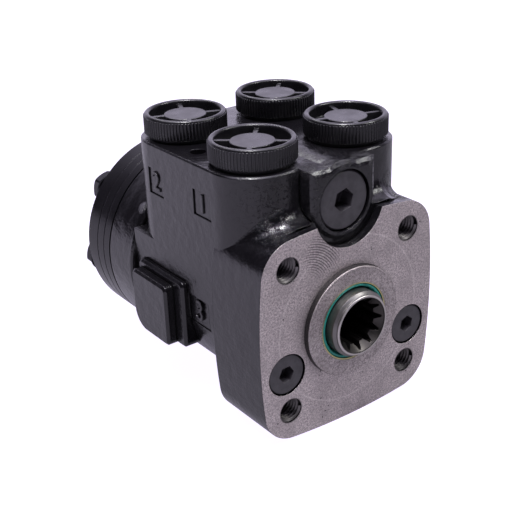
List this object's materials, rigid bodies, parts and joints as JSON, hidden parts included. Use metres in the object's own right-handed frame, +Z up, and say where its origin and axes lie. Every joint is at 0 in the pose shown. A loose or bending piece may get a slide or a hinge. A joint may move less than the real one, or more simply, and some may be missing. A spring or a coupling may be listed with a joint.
{
  "type": "orbital steering unit",
  "caption": "Hydraulic steering unit: square mounting flange with splined input, port block with knurled caps on top, round gerotor gear set with end cover at the rear.",
  "frame": {"origin": "centre of the mounting flange's machined face, on the shaft axis", "axes": "+X right along the flange, +Y along the shaft towards the gear set, +Z up towards the ports"},
  "size_m": [0.094, 0.1458, 0.1135],
  "materials": {
    "painted_iron": "black gloss paint over cast iron, flange face machined bare",
    "painted_steel": "black satin paint",
    "zinc_yellow": "yellow passivated sheet steel",
    "green_rubber": "green nitrile rubber",
    "black_rubber": "black nitrile rubber",
    "bearing_steel": "ground and polished",
    "ground_steel": "ground, oiled",
    "spring_steel": "blued spring steel",
    "black_steel": "black oxide",
    "washer_metal": "soft sealing washer",
    "cap_plastic": "black moulded polyethylene"
  },
  "bodies": {
    "housing": {"housing": "painted_iron", "dust_seal_case": "zinc_yellow", "shaft_seal_lip": "green_rubber", "bearing_race_front": "bearing_steel", "distributor_plate": "painted_steel", "gear_ring": "painted_steel", "end_cover": "painted_steel", "o_ring_housing": "black_rubber", "o_ring_plate": "black_rubber", "o_ring_cover": "black_rubber", "pin_screw": "black_steel", "cover_screws": "black_steel", "screw_washers": "washer_metal", "relief_plug": "black_steel", "relief_plug_seal": "black_rubber", "relief_adjuster": "ground_steel", "relief_spring": "spring_steel", "relief_seat": "ground_steel", "shock_plugs": "black_steel", "shock_plug_seals": "black_rubber", "shock_springs": "spring_steel", "shock_seats": "ground_steel", "check_bush": "ground_steel"},
    "sleeve": {"sleeve": "ground_steel", "cross_pin": "bearing_steel", "bearing_race_rear": "bearing_steel", "centering_springs": "spring_steel"},
    "spool": {"spool": "ground_steel"},
    "needle_bearing": {"needle_bearing": "bearing_steel"},
    "orbit_carrier": {"spacer": "ground_steel"},
    "gear_rotor": {"gear_rotor": "ground_steel"},
    "cardan_shaft": {"cardan_shaft": "ground_steel"},
    "relief_poppet": {"relief_poppet": "ground_steel"},
    "shock_ball_left": {"shock_ball_left": "bearing_steel"},
    "shock_ball_right": {"shock_ball_right": "bearing_steel"},
    "check_ball": {"check_ball": "bearing_steel"},
    "gasket_front_left": {"gasket_front_left": "black_rubber"},
    "cap_front_left": {"cap_front_left": "cap_plastic"},
    "gasket_front_right": {"gasket_front_right": "black_rubber"},
    "cap_front_right": {"cap_front_right": "cap_plastic"},
    "gasket_rear_left": {"gasket_rear_left": "black_rubber"},
    "cap_rear_left": {"cap_rear_left": "cap_plastic"},
    "gasket_rear_right": {"gasket_rear_right": "black_rubber"},
    "cap_rear_right": {"cap_rear_right": "cap_plastic"}
  },
  "joints": [
    {"name": "metering_turn", "type": "hinge", "parent": "housing", "child": "sleeve", "pos_m": [0, 0, 0], "axis": [0, 1, 0], "continuous": true},
    {"name": "spool_deflection", "type": "hinge", "parent": "sleeve", "child": "spool", "pos_m": [0, 0, 0], "axis": [0, 1, 0], "range_deg": [-10, 10], "stiffness_Nm_per_rad": 6, "deforming": ["centering_springs"]},
    {"name": "bearing_roll", "type": "hinge", "parent": "housing", "child": "needle_bearing", "pos_m": [0, 0, 0], "axis": [0, 1, 0], "continuous": true},
    {"name": "star_orbit", "type": "hinge", "parent": "housing", "child": "orbit_carrier", "pos_m": [0, 0, 0], "axis": [0, 1, 0], "continuous": true},
    {"name": "star_spin", "type": "hinge", "parent": "orbit_carrier", "child": "gear_rotor", "pos_m": [-0.00104, 0.1163, 0.00216], "axis": [0, 1, 0], "continuous": true},
    {"name": "cardan_spin", "type": "hinge", "parent": "orbit_carrier", "child": "cardan_shaft", "pos_m": [0, 0.044, 0], "axis": [-0.0144, 0.9994, 0.0299], "continuous": true},
    {"name": "relief_lift", "type": "slide", "parent": "housing", "child": "relief_poppet", "axis": [0, -1, 0], "range_m": [0, 0.002], "stiffness_N_per_m": 3000, "springref_m": -0.003, "deforming": ["relief_spring"]},
    {"name": "shock_lift_left", "type": "slide", "parent": "housing", "child": "shock_ball_left", "axis": [0, -1, 0], "range_m": [0, 0.0015], "stiffness_N_per_m": 2000, "springref_m": -0.003, "deforming": ["shock_springs"]},
    {"name": "shock_lift_right", "type": "slide", "parent": "housing", "child": "shock_ball_right", "axis": [0, -1, 0], "range_m": [0, 0.0015], "stiffness_N_per_m": 2000, "springref_m": -0.003},
    {"name": "check_lift", "type": "slide", "parent": "housing", "child": "check_ball", "axis": [0, 0, 1], "range_m": [0, 0.0009]},
    {"name": "cap_lift_front_left", "type": "slide", "parent": "housing", "child": "gasket_front_left", "axis": [0, 0, 1], "range_m": [0, 0.008]},
    {"name": "cap_turn_front_left", "type": "hinge", "parent": "gasket_front_left", "child": "cap_front_left", "pos_m": [-0.0222, 0.0283, 0.061], "axis": [0, 0, 1], "range_deg": [0, 1590]},
    {"name": "cap_lift_front_right", "type": "slide", "parent": "housing", "child": "gasket_front_right", "axis": [0, 0, 1], "range_m": [0, 0.008]},
    {"name": "cap_turn_front_right", "type": "hinge", "parent": "gasket_front_right", "child": "cap_front_right", "pos_m": [0.0222, 0.0283, 0.061], "axis": [0, 0, 1], "range_deg": [0, 1590]},
    {"name": "cap_lift_rear_left", "type": "slide", "parent": "housing", "child": "gasket_rear_left", "axis": [0, 0, 1], "range_m": [0, 0.008]},
    {"name": "cap_turn_rear_left", "type": "hinge", "parent": "gasket_rear_left", "child": "cap_rear_left", "pos_m": [-0.0222, 0.0728, 0.061], "axis": [0, 0, 1], "range_deg": [0, 1590]},
    {"name": "cap_lift_rear_right", "type": "slide", "parent": "housing", "child": "gasket_rear_right", "axis": [0, 0, 1], "range_m": [0, 0.008]},
    {"name": "cap_turn_rear_right", "type": "hinge", "parent": "gasket_rear_right", "child": "cap_rear_right", "pos_m": [0.0222, 0.0728, 0.061], "axis": [0, 0, 1], "range_deg": [0, 1590]}
  ],
  "couplings": [
    {"joint": "bearing_roll", "follows": "metering_turn", "ratio": 0.5},
    {"joint": "star_orbit", "follows": "metering_turn", "ratio": -6},
    {"joint": "star_spin", "follows": "metering_turn", "ratio": 7},
    {"joint": "cardan_spin", "follows": "metering_turn", "ratio": 7},
    {"joint": "cap_turn_front_left", "follows": "cap_lift_front_left", "rad_per_m": 3463.7},
    {"joint": "cap_turn_front_right", "follows": "cap_lift_front_right", "rad_per_m": 3463.7},
    {"joint": "cap_turn_rear_left", "follows": "cap_lift_rear_left", "rad_per_m": 3463.7},
    {"joint": "cap_turn_rear_right", "follows": "cap_lift_rear_right", "rad_per_m": 3463.7}
  ]
}
